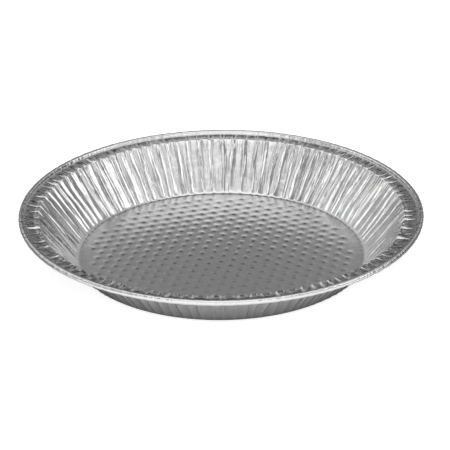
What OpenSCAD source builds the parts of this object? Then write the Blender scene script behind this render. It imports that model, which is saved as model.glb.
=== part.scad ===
// Foil pie tin. One round blank of thin aluminium foil is pressed into a shallow
// tin: an embossed base, a gathered wall and flange, and an edge rolled into a bead.
// All sizes are in millimetres. The tin stands on the plane z = 0, on the Z axis.

/* [Tin] */
// Outer diameter, over the rolled rim
rim_d = 228.6; // [222:0.2:300]
// Height from the table to the top of the rolled rim
tin_h = 30; // [20:0.5:45]
// Diameter of the flat part of the base
base_d = 158; // [120:0.5:180]
// Diameter at which the wall's bend runs out into the flat flange
mouth_d = 208.6; // [195:0.2:212]
// Thickness of the foil
foil_t = 0.1; // [0.08:0.01:0.2]
// Radius of the bend between base and wall
base_bend_r = 4; // [1.5:0.1:5]
// Radius of the bend between wall and flange
flange_bend_r = 1.5; // [0.8:0.1:3]

/* [Rolled rim] */
// Diameter of the bead that the edge of the foil is rolled into
bead_d = 3.2; // [2.4:0.1:4.5]
// How far the flange lies below the level of the bead's middle
flange_drop = 0.9; // [0:0.1:1]
// Angle that the edge is rolled through, from the flange up, over and back under it
curl_turn = 315; // [240:5:335]
// Height of the small bend where the flange turns up into the bead
root_h = 0.5; // [0.3:0.05:0.8]

/* [Gathers] */
// Number of gathers round the wall
gathers = 102; // [40:1:110]
// Depth of a gather where the wall leaves the base
foot_depth = 0.6; // [0:0.05:1]
// Depth of a gather at the top of the wall
wall_depth = 1.1; // [0:0.05:1.6]
// Depth of a gather on the flange
flange_depth = 0.6; // [0:0.05:1]
// Width of the strip of flange beside the bead where the gathers run out
run_out_w = 1; // [0.9:0.1:2]
// How uneven the gathers are, from 0 for all alike to 1
unevenness = 0.7; // [0:0.05:1]
// Number that picks one pattern of uneven gathers
gather_seed = 9; // [1:1:99]

/* [Embossed base] */
// Distance between neighbouring bumps
bump_pitch = 7.35; // [6:0.05:12]
// Diameter of a bump at its foot
bump_d = 4.8; // [3:0.1:5.6]
// Height of a bump
bump_h = 0.3; // [0.2:0.05:1]
// Plain border between the bumps and the edge of the flat base
border_w = 1.5; // [1.4:0.1:20]
// Turn of the rows of bumps from the X axis, in degrees
bump_turn = 17; // [0:1:59]
// Place of one bump near the middle along X, off the tin's axis
bump_x = -4; // [-6:0.1:6]
// Place of one bump near the middle along Y, off the tin's axis
bump_y = 0.7; // [-6:0.1:6]

/* [Hidden] */
$fn = 72;

foil_colour = [0.80, 0.80, 0.81];
// Width over which the wall's foil laps the base's foil, level with it
lap_w = 0.4;
// Corners of one gather: its crease, and the two ends of its crest
gather_steps = 3;
// Flat faces round the curl of the bead
curl_steps = 8;

base_r = base_d / 2;
bead_r = (bead_d - foil_t) / 2;
bead_mid = [(rim_d - bead_d) / 2, tin_h - bead_d / 2];
flange_z = bead_mid[1] - flange_drop;
bead_near_r = bead_mid[0] - bead_r;

// The wall is the straight line that touches both bends, on opposite sides
base_bend = [base_r, foil_t / 2 + base_bend_r];
flange_bend = [mouth_d / 2, flange_z - flange_bend_r];
between = flange_bend - base_bend;
wall_slope = atan2(between[1], between[0]) + asin((base_bend_r + flange_bend_r) / norm(between));

// Rings of the foil's middle line, each [radius, height, slope, depth of its gathers]
function on_base_bend(slope, depth) =
    [base_bend[0] + base_bend_r * sin(slope), base_bend[1] - base_bend_r * cos(slope), slope, depth];
function on_flange_bend(slope, depth) =
    [flange_bend[0] - flange_bend_r * sin(slope), flange_bend[1] + flange_bend_r * cos(slope), slope, depth];
function on_curl(turn) =
    [bead_mid[0] - bead_r * cos(turn), bead_mid[1] + bead_r * sin(turn), 90 - turn, 0];
gathered_rings = [
    on_base_bend(0, 0),
    on_base_bend(wall_slope / 2, foot_depth / 2),
    on_base_bend(wall_slope, foot_depth),
    on_flange_bend(wall_slope, wall_depth),
    on_flange_bend(0, flange_depth),
    [bead_near_r - run_out_w, flange_z, 0, 0]
];
lap_ring = [base_r - 2 * lap_w, foil_t / 2, 0, 0];
curl_start = asin((root_h - flange_drop) / bead_r);
curl_rings = concat(
    [[bead_near_r - root_h, flange_z, 0, 0]],
    [for (i = [0:curl_steps]) on_curl(curl_start + curl_turn * i / curl_steps)]
);

// Uneven gathers: each has its own share of the turn, depth, slant and width of crest
function scatter(i, draw) = let (v = 43758.5453 * sin(127.1 * i + 311.7 * draw + 74.7 * gather_seed)) v - floor(v);
function uneven(low, high, draw) =
    [for (i = [0:gathers - 1]) unevenness * (low + (high - low) * scatter(i, draw))];
widths = [for (w = uneven(-0.4, 0.4, 0)) 1 + w];
depths = [for (d = uneven(-0.5, 0.2, 1)) 1 + d];
slants = uneven(-0.5, 0.5, 2);
crests = [for (c = uneven(-0.15, 0.15, 3)) 0.4 + c];
width_sums = [for (i = 0, sum = 0; i <= gathers; sum = sum + (i < gathers ? widths[i] : 0), i = i + 1) sum];

// Share of the way from the base's edge (0) to the bead (1) that a ring lies at
function way_out(ring) = (ring[0] - base_r) / (bead_near_r - base_r);
// Angle of crease i at a share of the way
function crease_angle(i, way) =
    let (j = i % gathers)
    360 * ((i - j) / gathers + width_sums[j] / width_sums[gathers] + slants[j] * (way - 0.5) / gathers);
function corner_angle(k, way) =
    let (
        i = floor(k / gather_steps),
        share = [0, 0.5 - crests[i] / 2, 0.5 + crests[i] / 2][k % gather_steps]
    ) crease_angle(i, way) * (1 - share) + crease_angle(i + 1, way) * share;
// How far a corner stands off the plain wall, as a share of the depth: creases out and crests in
function lift(k) = (k % gather_steps == 0 ? -0.5 : 0.5) * depths[floor(k / gather_steps)];

// Point on a ring at an angle, moved off the foil's middle line along its slope's normal
function ring_point(ring, angle, off) =
    let (r = ring[0] - off * sin(ring[2]))
    [r * cos(angle), r * sin(angle), ring[1] + off * cos(ring[2])];

// Lists of corners, from the lap under the base's edge out to the end of the curl
function gathered_row(row, side) = [for (k = [0:gathers * gather_steps - 1])
    ring_point(gathered_rings[row], corner_angle(k, way_out(gathered_rings[row])),
        gathered_rings[row][3] * lift(k) + side * foil_t / 2)];
function plain_row(ring, way, side) = [for (i = [0:gathers - 1])
    ring_point(ring, crease_angle(i, way), side * foil_t / 2)];

// The wall, flange and bead are one folded sheet, with an outer skin and an inner skin
module formed_sheet() {
    corners = gathers * gather_steps;
    rows = len(gathered_rings);
    curls = len(curl_rings);
    skin_size = rows * corners + (1 + curls) * gathers;
    points = [for (side = [-1, 1]) each concat(
        [for (row = [0:rows - 1]) each gathered_row(row, side)],
        plain_row(lap_ring, 0, side),
        [for (ring = curl_rings) each plain_row(ring, 1, side)]
    )];
    // Corner k of a gathered row, and corner i of plain row 0 (the lap) or 1 and on (the curl)
    function at(row, k) = row * corners + k % corners;
    function plain_at(row, i) = rows * corners + row * gathers + i % gathers;
    function gather_at(row, i) = [for (j = [0:gather_steps]) at(row, i * gather_steps + j)];
    function reversed(list) = [for (j = [len(list) - 1:-1:0]) list[j]];

    skin = concat(
        [for (row = [0:rows - 2], k = [0:corners - 1]) each [
            [at(row, k), at(row + 1, k), at(row + 1, k + 1)],
            [at(row, k), at(row + 1, k + 1), at(row, k + 1)]
        ]],
        [for (i = [0:gathers - 1]) each [
            concat([plain_at(0, i)], gather_at(0, i), [plain_at(0, i + 1)]),
            concat([plain_at(1, i + 1)], reversed(gather_at(rows - 1, i)), [plain_at(1, i)])
        ]],
        [for (row = [1:curls - 1], i = [0:gathers - 1])
            [plain_at(row, i), plain_at(row + 1, i), plain_at(row + 1, i + 1), plain_at(row, i + 1)]]
    );
    // The skins are joined by the foil's edge at the lap and at the end of the curl
    edges = [for (i = [0:gathers - 1]) each [
        [plain_at(0, i), plain_at(0, i + 1), plain_at(0, i + 1) + skin_size, plain_at(0, i) + skin_size],
        reversed([plain_at(curls, i), plain_at(curls, i + 1),
            plain_at(curls, i + 1) + skin_size, plain_at(curls, i) + skin_size])
    ]];
    inner_skin = [for (face = skin) reversed([for (corner = face) corner + skin_size])];
    polyhedron(points, concat(skin, inner_skin, edges), convexity = 8);
}

// A dome cut from a ball, with its top at the given height, and flat at its foot
module dome(ball_r, top) {
    rotate_extrude()
        intersection() {
            translate([0, top - ball_r]) circle(ball_r);
            square([ball_r, ball_r]);
        }
}

module embossed_base() {
    // Radius of the ball that the underside of a bump follows
    ball_r = (pow(bump_d / 2, 2) + pow(bump_h, 2)) / (2 * bump_h);
    reach = base_r - border_w - bump_d / 2;
    row_step = bump_pitch * [cos(bump_turn), sin(bump_turn)];
    side_step = bump_pitch * [cos(bump_turn + 60), sin(bump_turn + 60)];
    // The rows lean by 60 degrees, so they take more steps than the reach alone would
    count = ceil(reach / bump_pitch * 1.3);
    places = [for (i = [-count:count], j = [-count:count])
        let (place = [bump_x, bump_y] + i * row_step + j * side_step)
        if (norm(place) <= reach) place];
    difference() {
        union() {
            cylinder(r = base_r - lap_w, h = foil_t);
            for (place = places) translate([place[0], place[1], foil_t]) dome(ball_r + foil_t, bump_h);
        }
        for (place = places) translate(place) dome(ball_r, bump_h);
    }
}

module pie_tin() {
    color(foil_colour) {
        formed_sheet();
        embossed_base();
    }
}

pie_tin();
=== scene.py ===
import math

import bpy
import numpy as np
from mathutils import Matrix, Vector
from mathutils.geometry import delaunay_2d_cdt


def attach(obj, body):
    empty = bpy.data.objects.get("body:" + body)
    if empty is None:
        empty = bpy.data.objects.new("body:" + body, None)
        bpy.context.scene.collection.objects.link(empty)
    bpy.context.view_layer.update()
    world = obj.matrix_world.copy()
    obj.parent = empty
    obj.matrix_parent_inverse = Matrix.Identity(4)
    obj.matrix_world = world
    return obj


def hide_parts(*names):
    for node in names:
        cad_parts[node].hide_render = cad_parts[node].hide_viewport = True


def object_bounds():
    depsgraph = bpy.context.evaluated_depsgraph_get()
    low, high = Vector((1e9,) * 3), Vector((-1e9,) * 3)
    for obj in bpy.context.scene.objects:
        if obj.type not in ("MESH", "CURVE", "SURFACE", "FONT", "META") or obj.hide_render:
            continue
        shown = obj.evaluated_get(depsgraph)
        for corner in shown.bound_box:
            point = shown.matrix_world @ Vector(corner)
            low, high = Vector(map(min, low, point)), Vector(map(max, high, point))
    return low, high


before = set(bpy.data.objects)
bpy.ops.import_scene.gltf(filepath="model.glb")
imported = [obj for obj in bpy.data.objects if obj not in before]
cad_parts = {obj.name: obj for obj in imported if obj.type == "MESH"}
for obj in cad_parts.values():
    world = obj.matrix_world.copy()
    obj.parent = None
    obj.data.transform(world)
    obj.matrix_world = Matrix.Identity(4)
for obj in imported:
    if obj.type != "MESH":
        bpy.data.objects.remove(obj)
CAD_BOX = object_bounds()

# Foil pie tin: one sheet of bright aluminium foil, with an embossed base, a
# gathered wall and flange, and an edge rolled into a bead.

MM = 0.001

# Sizes of the tin in millimetres. The outer ones come from the CAD box.
RIM_R = (CAD_BOX[1].x - CAD_BOX[0].x) / 2 / MM
TIN_H = CAD_BOX[1].z / MM
BASE_R = 79.0
MOUTH_R = 104.3
FOIL_T = 0.1
BASE_BEND_R = 4.0
FLANGE_BEND_R = 1.5
BEAD_R = 1.55
FLANGE_DROP = 0.9
CURL_TURN = 315.0
ROOT_H = 0.5

# How much larger the radius of the bend at the base is in a crease than on a crest
FOOT_SPREAD = 2.4
# How much further out the foot lies on the X axis than on the Y axis
FOOT_OVAL = 1.8
# How far the flange sags, at which share of its width, and how far it has risen at the bead
FLANGE_SAG = 0.2
FLANGE_SAG_AT = 0.15
FLANGE_RISE = 0.45
FLANGE_RISE_POWER = 1.7
# Corner halfway round the root bend: shares of ROOT_H in from the bead and up, and its slope
ROOT_CORNER = (0.15, 0.35)
ROOT_CORNER_SLOPE = 40.0

# The gathers follow the same scatter rule as the solid's
GATHERS = 102
GATHER_SEED = 9
UNEVENNESS = 0.7
# Depths of a gather at the foot of the wall, at its top, on the flange, at the root and on the bead
FOOT_DEPTH = 0.6
WALL_DEPTH = 1.1
FLANGE_DEPTH = 0.9
ROOT_DEPTH = 0.2
BEAD_DEPTH = 0.16
# Share of its depth that a gather loses across the flange
FLANGE_FADE = 0.5
# Width of the strip beside the bead where the gathers run out
RUN_OUT_W = 1.0
# Lift of a gather at which the bead keeps its true round, above that of nearly every crest
BEAD_ROUND_LIFT = 0.66
# Share of a gather's width that it sways by, and share of its depth that comes and goes
SWAY = 0.1
DEPTH_CHANGE = 0.3
# Roundness of a gather's slopes, and how far its crest bulges
SLOPE_POWER = 0.85
CREST_BULGE = 0.10
# Depth of the finer wrinkles as a share of the gather's: on the slopes, and on the crest from a
# least value with a random share of a second one on top
SLOPE_WRINKLE = 0.13
CREST_WRINKLE = (0.05, 0.4)
# Numbers of the random draws
WRINKLE_SIZE_DRAW = 6
SWAY_DRAW = 7
DEPTH_DRAW = 9
PRESS_DRAW = 11
WRINKLE_DRAW = 20

# Steps between corners on each slope of a gather and on its crest
SLOPE_STEPS = 3
CREST_STEPS = 3
# Steps between rings of corners on each bend, the wall, the flange and the curl
BEND_STEPS = 4
WALL_STEPS = 11
FLANGE_STEPS = 6
CURL_STEPS = 12

# Triangular pattern of the embossed bumps
BUMP_PITCH = 7.35
BUMP_R = 2.4
BUMP_H = 0.3
BUMP_BORDER = 1.5
BUMP_TURN = 17.0
BUMP_PLACE = (-4.0, 0.7)
BUMP_ROUNDNESS = 1.2
# Rings of corners on each bump: the ring's share of its radius, and how many corners it has
BUMP_RINGS = ((0, 1), (0.4, 6), (0.72, 10), (1.04, 10))
# The bumps are pressed less deep towards the front, between these two Y values, and unevenly
PRESS_FRONT, PRESS_BACK = -60, 15
PRESS_LEAST = 0.5
PRESS_UNEVEN = 0.15
# Corners on the plain border: distances in from the base's edge, their spacing, and how far they
# keep from a bump's middle
BORDER_RINGS = (2.2, 4.0, 6.5)
BORDER_STEP = 2.2
BORDER_CLEAR = BUMP_R * 1.35

BEAD_MID_R = RIM_R - BEAD_R - FOIL_T / 2
BEAD_MID_Z = TIN_H - BEAD_R - FOIL_T / 2
BEAD_NEAR_R = BEAD_MID_R - BEAD_R
FLANGE_Z = BEAD_MID_Z - FLANGE_DROP

# The foil's finish. Rolling grain: how fast it changes along X, Y and Z, a metre, and its depth
GRAIN_SCALE = (60, 2600, 2600)
GRAIN_H = 0.01
GRAIN_STRENGTH = 0.25
# Fine wrinkles: roughly how many to a metre round the tin at a radius, how many outwards as a
# share of that, their depth, and how strong they are on the wall as a share of the flange's
WRINKLE_SCALE = 700.0
WRINKLE_R = 95
WRINKLE_STRETCH = 0.16
WRINKLE_H = 0.4
WRINKLE_ON_WALL = 0.6
# Dents from handling: how many to a metre, their depth, and how strong they are on the base
DENT_SCALE = 170.0
DENT_H = 0.22
DENT_ON_BASE = 0.3
# How far out from the base's edge the base's finish gives way to the wall's
WALL_START = (2, 6)
# How far inside the flange's edge the wall's finish starts to give way to the flange's
FLANGE_START = 3
# The foil's darkest and brightest grain, and its glossiest and dullest spots
FOIL_TONE = (0.80, 0.90)
FOIL_ROUGHNESS = (0.14, 0.26)

# Painted shadow on the table that the foil reflects, dark where the tin stands and paler further
# out: radii in millimetres, and the brightness there
TABLE_SHADOW_STOPS = (
    (77, 0.03), (80, 0.08), (83, 0.26), (88, 0.38),
    (96, 0.66), (120, 0.76), (137, 0.95), (165, 1.1),
)
TABLE_REACH = 200
# Painted light: the table glows brightest in front. Y where it starts to brighten and where it is
# full, and the strengths there
TABLE_FRONT = (-35, -110)
TABLE_LIGHT_STRENGTH = (0.25, 1.0)

# The room's own light, and the lights in it. Each has an azimuth (0 is +Y, 90 is +X), an
# elevation, the angles from its middle where it is still full and where it ends, and a strength.
ROOM_LIGHT = 0.04
LIGHTS = (
    (180, 80, 14, 38, 1.1),
    (180, 54, 12, 40, 0.26),
    (180, 14, 15, 42, 1.0),
    (140, 15, 12, 34, 0.8),
    (-140, 15, 12, 34, 0.8),
    (52, 60, 8, 25, 0.55),
    (-52, 60, 8, 25, 0.6),
    (36, 28, 8, 30, 0.28),
    (-36, 28, 8, 30, 0.32),
    (95, 33, 6, 24, 1.7),
    (100, 45, 10, 50, 0.12),
    (-88, 27, 5, 18, 1.2),
    (-112, 46, 18, 40, 0.2),
    (-66, 33, 10, 34, 0.4),
)
# The backdrop's band: elevations where it starts, is full, is still full, and ends
BACKDROP = (14, 23, 32, 43)
# It lies beyond the tin: shares of the way towards +Y where it starts and where it is full
BACKDROP_AHEAD = (0.25, 0.7)
BACKDROP_STRENGTH = 0.255

# The photograph's camera, fitted to the rim, the base and the embossed pattern
IMAGE_PX = 450
FOCAL_PX = 1450.02
SENSOR_W = 36.0
CAMERA_ELEVATION = 25.761
CAMERA_ROLL = -0.459
CAMERA_DISTANCE = 828.5
CAMERA_AIM = (2.156, 0, 16.996)


def scatter(i, draw):
    """A share from 0 to 1 that looks random, the same for the same gather and draw."""
    turn = 127.1 * np.asarray(i, float) + 311.7 * draw + 74.7 * GATHER_SEED
    v = 43758.5453 * np.sin(np.radians(turn))
    return v - np.floor(v)


def uneven(low, high, draw):
    """For every gather, a random number between the two, scaled by the unevenness."""
    return UNEVENNESS * (low + (high - low) * scatter(np.arange(GATHERS), draw))


def wave(draw, way, low, high):
    """For every gather, a smooth random number from -1 to 1 that changes along the way up."""
    rate = low + (high - low) * scatter(np.arange(GATHERS), draw)
    start = scatter(np.arange(GATHERS), draw + 0.5)
    return np.sin(2 * np.pi * (rate * way + start))


class Gathers:
    """Where each gather's crease runs, and how the foil stands off the plain wall in between."""

    def __init__(self):
        # The first four take the solid's ranges and draws
        widths = 1 + uneven(-0.4, 0.4, 0)
        self.starts = np.concatenate([[0], np.cumsum(widths)]) / widths.sum()
        self.depths = 1 + uneven(-0.5, 0.2, 1)
        self.slants = uneven(-0.5, 0.5, 2)
        self.crests = 0.4 + uneven(-0.15, 0.15, 3)
        least, more = CREST_WRINKLE
        self.crest_wrinkles = least + more * scatter(np.arange(GATHERS), WRINKLE_SIZE_DRAW)

    def crease(self, i, way):
        """Angle of crease i, in turns, at a share of the way from the base to the bead."""
        j = i % GATHERS
        sway = SWAY * wave(SWAY_DRAW, way, 0.6, 1.6) * np.sin(np.pi * way)
        lean = self.slants[j] * (way - 0.5) + sway[j]
        return (i - j) / GATHERS + self.starts[j] + lean / GATHERS

    def ring(self, way):
        """For one ring: its corners' angles in radians, and their lift, about -0.5 to 0.5."""
        slope = (0.5 - self.crests / 2)[:, None]
        up = np.arange(SLOPE_STEPS)[None, :] / SLOPE_STEPS
        across = np.arange(CREST_STEPS)[None, :] / CREST_STEPS
        share = np.concatenate(
            [slope * up, slope + (1 - 2 * slope) * across, 1 - slope + slope * up], axis=1)
        rise = np.sin(np.pi / 2 * up) ** SLOPE_POWER
        fall = (1 - up) ** SLOPE_POWER
        bulge = CREST_BULGE * np.sin(np.pi * across)
        lift = np.concatenate(
            [rise + 0 * slope, 1 + bulge + 0 * slope, fall + 0 * slope], axis=1) - 0.5
        # Finer wrinkles come and go along the gather, away from its crease
        inside = np.sin(np.pi * way) ** 0.5 if 0 < way < 1 else 0.0
        for step in range(1, share.shape[1]):
            on_crest = SLOPE_STEPS <= step <= SLOPE_STEPS + CREST_STEPS
            size = self.crest_wrinkles if on_crest else SLOPE_WRINKLE
            change = wave(WRINKLE_DRAW + step, way, 0.5, 2.2)
            lift[:, step] -= size * inside * (0.35 + 0.65 * change)
        i = np.arange(GATHERS)
        start, end = self.crease(i, way)[:, None], self.crease(i + 1, way)[:, None]
        angle = start * (1 - share) + end * share
        depth = self.depths * (1 + DEPTH_CHANGE * inside * wave(DEPTH_DRAW, way, 0.5, 1.5))
        return 2 * np.pi * angle.ravel(), (lift * depth[:, None]).ravel()


def wall_slope():
    """Slope in radians of the straight wall that touches both bends on opposite sides."""
    across = MOUTH_R - BASE_R
    up = (FLANGE_Z - FLANGE_BEND_R) - (FOIL_T / 2 + BASE_BEND_R)
    lean = math.asin((BASE_BEND_R + FLANGE_BEND_R) / math.hypot(up, across))
    return math.atan2(up, across) + lean


def base_bend(slope, share, angle, lift):
    """Radius and height on the bend at the base, wide in the creases and tight on the crests."""
    bend_r = BASE_BEND_R - FOOT_SPREAD * 0.5 * np.sin(np.pi * np.clip(lift, -0.5, 0.5))
    oval = FOOT_OVAL * np.cos(angle) ** 2
    start = BASE_R + oval + (BASE_BEND_R - bend_r) * math.tan(slope / 2)
    radius = start + bend_r * math.sin(slope * share)
    return radius, FOIL_T / 2 + bend_r * (1 - math.cos(slope * share))


def flange_bend(slope):
    """Radius and height where the bend at the flange has this slope."""
    radius = MOUTH_R - FLANGE_BEND_R * math.sin(slope)
    return radius, FLANGE_Z - FLANGE_BEND_R * (1 - math.cos(slope))


def flange_dip(t):
    """Height of the flange over its level, at a share of the way to where its gathers end."""
    if t < FLANGE_SAG_AT:
        return -FLANGE_SAG * math.sin(math.pi / 2 * t / FLANGE_SAG_AT)
    way_up = ((t - FLANGE_SAG_AT) / (1 - FLANGE_SAG_AT)) ** FLANGE_RISE_POWER
    return -FLANGE_SAG + (FLANGE_SAG + FLANGE_RISE) * way_up


def sheet_rings(gathers):
    """Corners of the foil's middle line, ring by ring from the base's edge to the curl's end."""
    slope = wall_slope()
    rings = []

    def add(radius, height, tilt, depth, angle, lift):
        off = depth * lift
        r = radius - off * math.sin(tilt)
        z = height + off * math.cos(tilt)
        rings.append(np.c_[r * np.cos(angle), r * np.sin(angle), z + 0 * angle])

    def ring_at(radius):
        way = (radius - BASE_R) / (BEAD_NEAR_R - BASE_R)
        return gathers.ring(min(max(way, 0.0), 1.0))

    # The bend at the base
    for k in range(BEND_STEPS + 1):
        t = k / BEND_STEPS
        angle, lift = ring_at(BASE_R + BASE_BEND_R * math.sin(slope * t))
        radius, height = base_bend(slope, t, angle, lift)
        add(radius, height, slope * t, FOOT_DEPTH * t ** 1.5, angle, lift)
    # The wall
    top_r, top_z = flange_bend(slope)
    plain_foot_r = BASE_R + BASE_BEND_R * math.sin(slope)
    for k in range(1, WALL_STEPS):
        t = k / WALL_STEPS
        angle, lift = ring_at(plain_foot_r + (top_r - plain_foot_r) * t)
        foot_r, foot_z = base_bend(slope, 1.0, angle, lift)
        depth = FOOT_DEPTH + (WALL_DEPTH - FOOT_DEPTH) * t
        add(foot_r + (top_r - foot_r) * t, foot_z + (top_z - foot_z) * t, slope, depth, angle, lift)
    # The bend at the flange
    for k in range(BEND_STEPS + 1):
        t = k / BEND_STEPS
        radius, height = flange_bend(slope * (1 - t))
        angle, lift = ring_at(radius)
        depth = WALL_DEPTH + (FLANGE_DEPTH - WALL_DEPTH) * t
        add(radius, height, slope * (1 - t), depth, angle, lift)
    # The flange
    run_out = BEAD_NEAR_R - RUN_OUT_W
    for k in range(1, FLANGE_STEPS + 1):
        t = k / FLANGE_STEPS
        radius = MOUTH_R + (run_out - MOUTH_R) * t
        angle, lift = ring_at(radius)
        depth = FLANGE_DEPTH * (1 - FLANGE_FADE * t)
        add(radius, FLANGE_Z + flange_dip(t), 0.0, depth, angle, lift)
    # The root of the bead
    angle, lift = gathers.ring(1.0)
    root_z = FLANGE_Z + flange_dip(1.0)
    add(BEAD_NEAR_R - ROOT_H, root_z, 0.0, ROOT_DEPTH, angle, lift)
    corner_in, corner_up = ROOT_CORNER
    add(BEAD_NEAR_R - corner_in * ROOT_H, root_z + corner_up * ROOT_H,
        math.radians(ROOT_CORNER_SLOPE), ROOT_DEPTH, angle, lift)
    # The bead, whose skin dips in from its true round
    dip = lift - BEAD_ROUND_LIFT
    start = math.asin((root_z + ROOT_H - BEAD_MID_Z) / BEAD_R)
    end = math.asin((ROOT_H - FLANGE_DROP) / BEAD_R) + math.radians(CURL_TURN)
    for k in range(CURL_STEPS + 1):
        turn = start + (end - start) * k / CURL_STEPS
        add(BEAD_MID_R - BEAD_R * math.cos(turn), BEAD_MID_Z + BEAD_R * math.sin(turn),
            math.pi / 2 - turn, BEAD_DEPTH, angle, dip)
    return rings


def bump_places():
    """Middles of the bumps that fit inside the plain border."""
    turn = math.radians(BUMP_TURN)
    side_turn = turn + math.pi / 3
    row_step = BUMP_PITCH * np.array([math.cos(turn), math.sin(turn)])
    side_step = BUMP_PITCH * np.array([math.cos(side_turn), math.sin(side_turn)])
    reach = BASE_R - BUMP_BORDER - BUMP_R
    # The rows lean by 60 degrees, so they take more steps than the reach alone would
    count = math.ceil(reach / BUMP_PITCH * 1.3)
    places = []
    for i in range(-count, count + 1):
        for j in range(-count, count + 1):
            place = np.array(BUMP_PLACE) + i * row_step + j * side_step
            if np.hypot(*place) <= reach:
                places.append(place)
    return np.array(places)


def bump_corners(places):
    """Corners on all the bumps, and their heights."""
    around = []
    heights = []
    for share, corners in BUMP_RINGS:
        for k in range(corners):
            a = 2 * math.pi * (k + 0.5) / corners
            around.append([share * BUMP_R * math.cos(a), share * BUMP_R * math.sin(a)])
            heights.append(BUMP_H * max(0.0, 1 - share ** 2) ** BUMP_ROUNDNESS)
    points = (places[:, None, :] + np.array(around)[None, :, :]).reshape(-1, 2)
    front = np.clip((places[:, 1] - PRESS_FRONT) / (PRESS_BACK - PRESS_FRONT), 0, 1)
    pressed = PRESS_LEAST + (1 - PRESS_LEAST) * front * front * (3 - 2 * front)
    pressed = pressed - PRESS_UNEVEN * scatter(np.arange(len(places)), PRESS_DRAW)
    return points, (pressed[:, None] * np.array(heights)[None, :]).ravel()


def border_corners(places):
    """Corners of the plain foil between the bumps and the base's edge."""
    border = []
    for inset in BORDER_RINGS:
        radius = BASE_R - inset
        count = int(2 * math.pi * radius / BORDER_STEP)
        for k in range(count):
            a = 2 * math.pi * k / count
            spot = np.array([radius * math.cos(a), radius * math.sin(a)])
            if np.hypot(*(places - spot).T).min() > BORDER_CLEAR:
                border.append(spot)
    return np.array(border)


def base_sheet(edge):
    """Corners and triangles of the base. The triangles also use the corners of its edge."""
    places = bump_places()
    points, heights = bump_corners(places)
    border = border_corners(places)
    points = np.concatenate([points, border])
    z = np.concatenate([heights, np.zeros(len(border))])
    n = len(points)
    every = [Vector(p) for p in np.concatenate([points, edge])]
    edge_pairs = [(n + k, n + (k + 1) % len(edge)) for k in range(len(edge))]
    out = delaunay_2d_cdt(every, edge_pairs, [], 1, 1e-6)
    verts, faces = out[0], out[2]
    assert len(verts) == len(every), "the base's corners merged"
    triangles = []
    for face in faces:
        a, b, c = (verts[i] for i in face)
        turn = (b[0] - a[0]) * (c[1] - a[1]) - (b[1] - a[1]) * (c[0] - a[0])
        triangles.append(tuple(face) if turn > 0 else tuple(reversed(face)))
    return np.c_[points, z + FOIL_T / 2], triangles


def build_sheet():
    """The foil's middle line: its corners, its faces and the corners at the end of the curl."""
    rings = sheet_rings(Gathers())
    points, triangles = base_sheet(rings[0][:, :2])
    edge_start, around = len(points), len(rings[0])
    faces = []
    for row in range(len(rings) - 1):
        a = edge_start + row * around
        for k in range(around):
            n = (k + 1) % around
            faces.append((a + k, a + around + k, a + around + n, a + n))
    last = edge_start + (len(rings) - 1) * around
    rim = [last + k for k in range(around)]
    return np.concatenate([points] + rings), faces + triangles, rim


def normals_of(points, faces):
    """Normal at each corner, from the triangles and quads that meet there."""
    out = np.zeros_like(points)
    for size in (3, 4):
        f = np.array([face for face in faces if len(face) == size])
        a, b, c = points[f[:, 0]], points[f[:, 1]], points[f[:, 2]]
        n = np.cross(b - a, c - a) if size == 3 else np.cross(c - a, points[f[:, 3]] - b)
        for corner in range(size):
            np.add.at(out, f[:, corner], n)
    return out / np.linalg.norm(out, axis=1)[:, None]


def closed_foil():
    """The sheet with its thickness: an upper and a lower skin, joined at the end of the curl."""
    mid, faces, rim = build_sheet()
    up = normals_of(mid, faces)
    n = len(mid)
    points = np.concatenate([mid + up * FOIL_T / 2, mid - up * FOIL_T / 2])
    under = [tuple(n + i for i in reversed(face)) for face in faces]
    edge = []
    for k in range(len(rim)):
        here, beside = rim[k], rim[(k + 1) % len(rim)]
        edge.append((beside, here, n + here, n + beside))
    mesh = bpy.data.meshes.new("foil_sheet")
    mesh.from_pydata((points * MM).tolist(), [], faces + under + edge)
    mesh.polygons.foreach_set("use_smooth", [True] * len(mesh.polygons))
    mesh.update()
    piece = bpy.data.objects.new("foil_sheet", mesh)
    bpy.context.scene.collection.objects.link(piece)
    return piece


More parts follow.
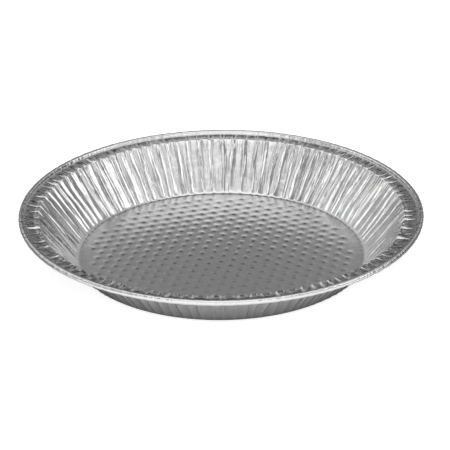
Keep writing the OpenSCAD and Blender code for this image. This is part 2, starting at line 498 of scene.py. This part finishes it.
class Graph:
    """Short ways to add nodes to one node tree."""

    def __init__(self, tree):
        self.nodes = tree.nodes
        self.link = tree.links.new
        self.nodes.clear()

    def feed(self, socket, value):
        """Give a socket its value: a number, a tuple of numbers, or another node's output."""
        if isinstance(value, (int, float, tuple)):
            socket.default_value = value
        else:
            self.link(value, socket)

    def math(self, operation, a, b):
        node = self.nodes.new("ShaderNodeMath")
        node.operation = operation
        self.feed(node.inputs[0], a)
        self.feed(node.inputs[1], b)
        return node.outputs["Value"]

    def map_range(self, value, from_range, to_range=(0.0, 1.0), smooth=True):
        node = self.nodes.new("ShaderNodeMapRange")
        node.interpolation_type = "SMOOTHSTEP" if smooth else "LINEAR"
        names = ("From Min", "From Max", "To Min", "To Max")
        for name, number in zip(names, (*from_range, *to_range)):
            node.inputs[name].default_value = number
        self.link(value, node.inputs["Value"])
        return node.outputs["Result"]

    def place(self, kind):
        return self.nodes.new("ShaderNodeTexCoord").outputs[kind]

    def length(self, vector):
        node = self.nodes.new("ShaderNodeVectorMath")
        node.operation = "LENGTH"
        self.link(vector, node.inputs[0])
        return node.outputs["Value"]

    def split(self, vector):
        node = self.nodes.new("ShaderNodeSeparateXYZ")
        self.link(vector, node.inputs[0])
        return node.outputs

    def noise(self, vector, **settings):
        """A noise texture's strength, with settings such as Detail by their sockets' names."""
        node = self.nodes.new("ShaderNodeTexNoise")
        for name, number in settings.items():
            node.inputs[name].default_value = number
        self.link(vector, node.inputs["Vector"])
        return node.outputs["Fac"]

    def bump(self, height, distance, strength, under=None):
        """A normal raised by a height, over another bump's normal where one is given."""
        node = self.nodes.new("ShaderNodeBump")
        node.inputs["Distance"].default_value = distance
        self.feed(node.inputs["Strength"], strength)
        self.link(height, node.inputs["Height"])
        if under is not None:
            self.link(under, node.inputs["Normal"])
        return node.outputs["Normal"]


def new_material(name, kind):
    """A material with one shader of this kind, its graph, and the shader's sockets."""
    material = bpy.data.materials.new(name)
    material.use_nodes = True
    graph = Graph(material.node_tree)
    out = graph.nodes.new("ShaderNodeOutputMaterial")
    shader = graph.nodes.new(kind)
    graph.link(shader.outputs[0], out.inputs["Surface"])
    return material, graph, shader.inputs


def foil_material():
    """Bright rolled aluminium: fine rolling grain, wrinkles, small dents, and an uneven gloss."""
    material, graph, sockets = new_material("foil", "ShaderNodeBsdfPrincipled")
    place = graph.place("Object")
    radius = graph.length(place)
    on_wall = graph.map_range(radius, [(BASE_R + step) * MM for step in WALL_START])

    # Rolling grain: streaks along X
    stretch = graph.nodes.new("ShaderNodeMapping")
    stretch.inputs["Scale"].default_value = GRAIN_SCALE
    graph.link(place, stretch.inputs["Vector"])
    grain = graph.noise(stretch.outputs["Vector"], Scale=1.0, Detail=3.0)

    # Fine wrinkles that run out from the base, weaker on the wall than on the flange
    spot = graph.split(place)
    turn = graph.math("ARCTAN2", spot["Y"], spot["X"])
    round_place = graph.nodes.new("ShaderNodeCombineXYZ")
    along = graph.math("MULTIPLY", turn, WRINKLE_R * MM * WRINKLE_SCALE)
    outwards = graph.math("MULTIPLY", radius, WRINKLE_STRETCH * WRINKLE_SCALE)
    graph.link(along, round_place.inputs["X"])
    graph.link(outwards, round_place.inputs["Y"])
    wrinkles = graph.noise(round_place.outputs["Vector"], Scale=1.0, Detail=2.0, Distortion=0.4)
    flange_edge = ((MOUTH_R - FLANGE_START) * MM, MOUTH_R * MM)
    on_flange = graph.map_range(radius, flange_edge, (WRINKLE_ON_WALL, 1.0))
    wrinkle_strength = graph.math("MULTIPLY", on_wall, on_flange)

    # Handling: soft dents a few millimetres across, weaker on the base
    dents = graph.noise(place, Scale=DENT_SCALE, Detail=2.0, Roughness=0.45)
    dent_strength = graph.map_range(on_wall, (0.0, 1.0), (DENT_ON_BASE, 1.0), smooth=False)

    tone = graph.map_range(grain, (0.0, 1.0), FOIL_TONE, smooth=False)
    colour = graph.nodes.new("ShaderNodeCombineColor")
    for name in ("Red", "Green", "Blue"):
        graph.link(tone, colour.inputs[name])
    graph.link(colour.outputs["Color"], sockets["Base Color"])
    sockets["Metallic"].default_value = 1.0
    dull = graph.map_range(dents, (0.0, 1.0), FOIL_ROUGHNESS, smooth=False)
    graph.link(dull, sockets["Roughness"])
    normal = graph.bump(grain, GRAIN_H * MM, GRAIN_STRENGTH)
    normal = graph.bump(wrinkles, WRINKLE_H * MM, wrinkle_strength, normal)
    normal = graph.bump(dents, DENT_H * MM, dent_strength, normal)
    graph.link(normal, sockets["Normal"])
    return material


def floor_material():
    """Pale and softly lit from within, like a light table, so shadows on it stay faint."""
    material, graph, sockets = new_material("floor_pale", "ShaderNodeBsdfPrincipled")
    graph.feed(sockets["Base Color"], (0.85, 0.85, 0.85, 1))
    graph.feed(sockets["Roughness"], 0.9)
    graph.feed(sockets["Specular IOR Level"], 0.0)
    graph.feed(sockets["Emission Color"], (1, 1, 1, 1))
    graph.feed(sockets["Emission Strength"], 0.7)
    return material


def painted_shadow_table_material():
    """What the foil reflects from below, a glowing sheet: a painted shadow dark where the tin
    stands, paler further out, and painted light brightest in front.
    """
    material, graph, sockets = new_material("table_painted_shadow", "ShaderNodeEmission")
    place = graph.place("Object")
    # Painted shadow: the glow is dark where the tin stands and rises further out
    ramp = graph.nodes.new("ShaderNodeValToRGB")
    share = graph.map_range(graph.length(place), (0.0, TABLE_REACH * MM), smooth=False)
    graph.link(share, ramp.inputs["Fac"])
    elements = ramp.color_ramp.elements
    while len(elements) < len(TABLE_SHADOW_STOPS):
        elements.new(0.5)
    for element, (radius, value) in zip(elements, TABLE_SHADOW_STOPS):
        element.position = radius / TABLE_REACH
        element.color = (value, value, value, 1)
    graph.link(ramp.outputs["Color"], sockets["Color"])
    # Painted light: the glow is strongest in front of the tin and weaker at its sides
    start, full = TABLE_FRONT
    strength = graph.map_range(graph.split(place)["Y"], (start * MM, full * MM), TABLE_LIGHT_STRENGTH)
    graph.link(strength, sockets["Strength"])
    return material


def stage_sheet(name, mesh, material):
    """One of the sheets that the tin stands on."""
    mesh.materials.append(material)
    sheet = bpy.data.objects.new(name, mesh)
    bpy.context.scene.collection.objects.link(sheet)
    return sheet


def make_floor():
    """The pale floor, and in its place a dimmer glowing table that only reflections show, with a
    painted shadow around the tin and painted light in front.
    """
    size = 3.0
    corners = [(-size, -size, 0), (size, -size, 0), (size, size, 0), (-size, size, 0)]
    mesh = bpy.data.meshes.new("floor")
    mesh.from_pydata(corners, [], [(0, 1, 2, 3)])
    table_mesh = mesh.copy()
    floor = stage_sheet("floor", mesh, floor_material())
    floor.visible_glossy = False
    # A glowing sheet seen only in reflections, which carries the painted shadow and the painted
    # light in front
    table = stage_sheet("table", table_mesh, painted_shadow_table_material())
    table.visible_camera = False
    table.visible_diffuse = False
    table.visible_shadow = False


def make_camera():
    elevation = math.radians(CAMERA_ELEVATION)
    aim = Vector([v * MM for v in CAMERA_AIM])
    forward = Vector((0, math.cos(elevation), -math.sin(elevation)))
    camera = bpy.data.cameras.new("camera")
    camera.sensor_width = SENSOR_W
    camera.lens = FOCAL_PX / IMAGE_PX * camera.sensor_width
    camera.clip_start = 0.01
    seat = bpy.data.objects.new("camera", camera)
    roll = Matrix.Rotation(math.radians(CAMERA_ROLL), 3, "Z")
    turn = forward.to_track_quat("-Z", "Y").to_matrix() @ roll
    place = aim - forward * (CAMERA_DISTANCE * MM)
    seat.matrix_world = Matrix.Translation(place) @ turn.to_4x4()
    bpy.context.scene.collection.objects.link(seat)
    bpy.context.scene.camera = seat


def light_in(graph, direction, azimuth, elevation, inner, outer, strength):
    """One soft round light of the sky."""
    a, e = math.radians(azimuth), math.radians(elevation)
    towards = graph.nodes.new("ShaderNodeVectorMath")
    towards.operation = "DOT_PRODUCT"
    middle = (math.sin(a) * math.cos(e), math.cos(a) * math.cos(e), math.sin(e))
    towards.inputs[1].default_value = middle
    graph.link(direction, towards.inputs[0])
    edges = (math.cos(math.radians(outer)), math.cos(math.radians(inner)))
    return graph.map_range(towards.outputs["Value"], edges, (0.0, strength))


def backdrop_in(graph, direction):
    """A dim band beyond the tin."""
    start, full, last, end = (math.sin(math.radians(e)) for e in BACKDROP)
    axes = graph.split(direction)
    lower = graph.map_range(axes["Z"], (start, full))
    upper = graph.map_range(axes["Z"], (last, end), (1.0, 0.0))
    ahead = graph.map_range(axes["Y"], BACKDROP_AHEAD, (0.0, BACKDROP_STRENGTH))
    return graph.math("MULTIPLY", graph.math("MULTIPLY", lower, upper), ahead)


def make_world():
    """Soft studio light: wide soft lights all round in a nearly dark room, and a dim backdrop."""
    world = bpy.data.worlds.new("studio")
    bpy.context.scene.world = world
    world.use_nodes = True
    graph = Graph(world.node_tree)
    out = graph.nodes.new("ShaderNodeOutputWorld")
    light = graph.nodes.new("ShaderNodeBackground")
    graph.link(light.outputs["Background"], out.inputs["Surface"])
    direction = graph.place("Generated")
    total = ROOM_LIGHT
    for sizes in LIGHTS:
        total = graph.math("ADD", light_in(graph, direction, *sizes), total)
    total = graph.math("ADD", backdrop_in(graph, direction), total)
    graph.link(total, light.inputs["Strength"])


make_camera()
foil = closed_foil()
foil.data.materials.append(foil_material())
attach(foil, "root")
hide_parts("pie_tin")
make_floor()
make_world()
bpy.context.scene.view_settings.view_transform = "Standard"

bpy.context.view_layer.update()
